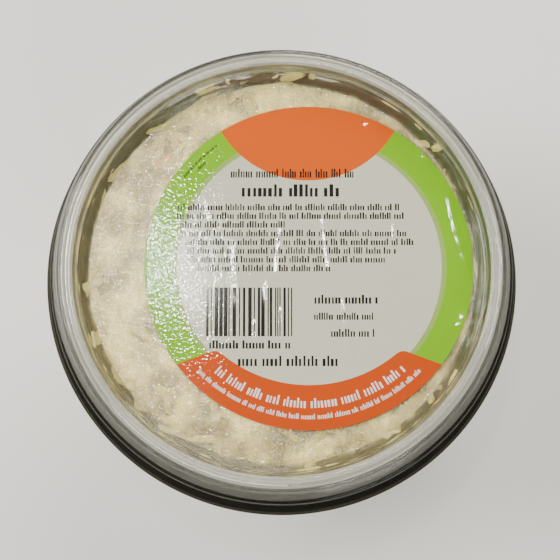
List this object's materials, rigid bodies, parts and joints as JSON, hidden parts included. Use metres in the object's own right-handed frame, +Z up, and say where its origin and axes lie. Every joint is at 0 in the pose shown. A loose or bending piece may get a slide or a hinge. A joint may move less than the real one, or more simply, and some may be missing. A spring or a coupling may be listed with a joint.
{
  "type": "tub of coleslaw",
  "caption": "Shut round deli tub of coleslaw: clear tapered tub with a guard flange, recessed press-on lid, round label, and the dressed shreds that fill it.",
  "frame": {"origin": "middle of the foot ring, on the surface the tub stands on", "axes": "+Z up through the lid; -Y is the side nearest the reader of the label, +X is to the reader's right"},
  "size_m": [0.1214, 0.1214, 0.065],
  "materials": {
    "clear_plastic": "clear, slightly smoky moulded polypropylene, glossy",
    "frosted_plastic": "clear polypropylene with a finely frosted panel",
    "label_film": "satin printed film with small creases",
    "dressed_salad": "creamy dressing over cabbage and carrot shreds, wet"
  },
  "bodies": {
    "root": {"tub": "clear_plastic", "lid": "frosted_plastic", "label": "label_film", "coleslaw": "dressed_salad"}
  },
  "joints": []
}
